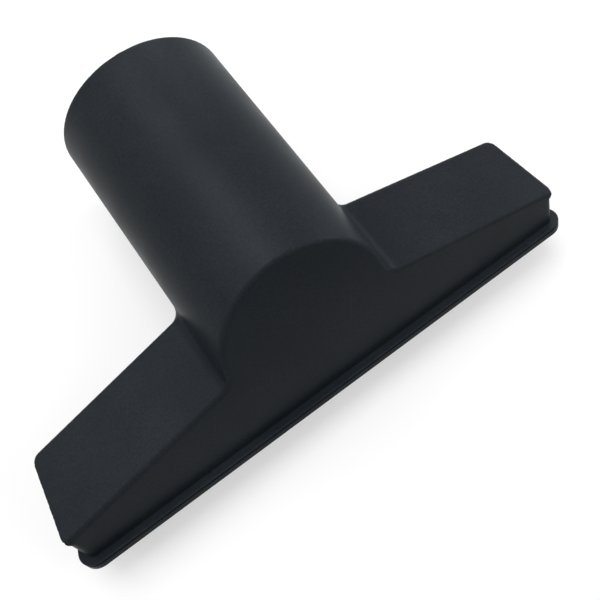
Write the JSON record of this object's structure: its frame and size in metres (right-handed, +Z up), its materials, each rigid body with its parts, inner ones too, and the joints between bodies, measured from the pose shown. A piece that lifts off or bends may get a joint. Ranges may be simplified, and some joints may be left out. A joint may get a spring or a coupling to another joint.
{
  "type": "vacuum upholstery nozzle",
  "caption": "Low wide suction head with a flat front face, two falling wings and a rimmed open mouth, carried by a round socket that slides onto a vacuum wand.",
  "frame": {"origin": "on the floor, in the mid-plane, at the centre of the footprint", "axes": "+X along the head, +Y to the rear, where the socket opens, +Z up; the nozzle lies as it rests when it is put down, on the rear edge of its rim and the edge of the open end"},
  "size_m": [0.1286, 0.0782, 0.0453],
  "materials": {
    "black_plastic": "fine matt moulded surface"
  },
  "bodies": {
    "root": {"nozzle_body": "black_plastic"}
  },
  "joints": []
}
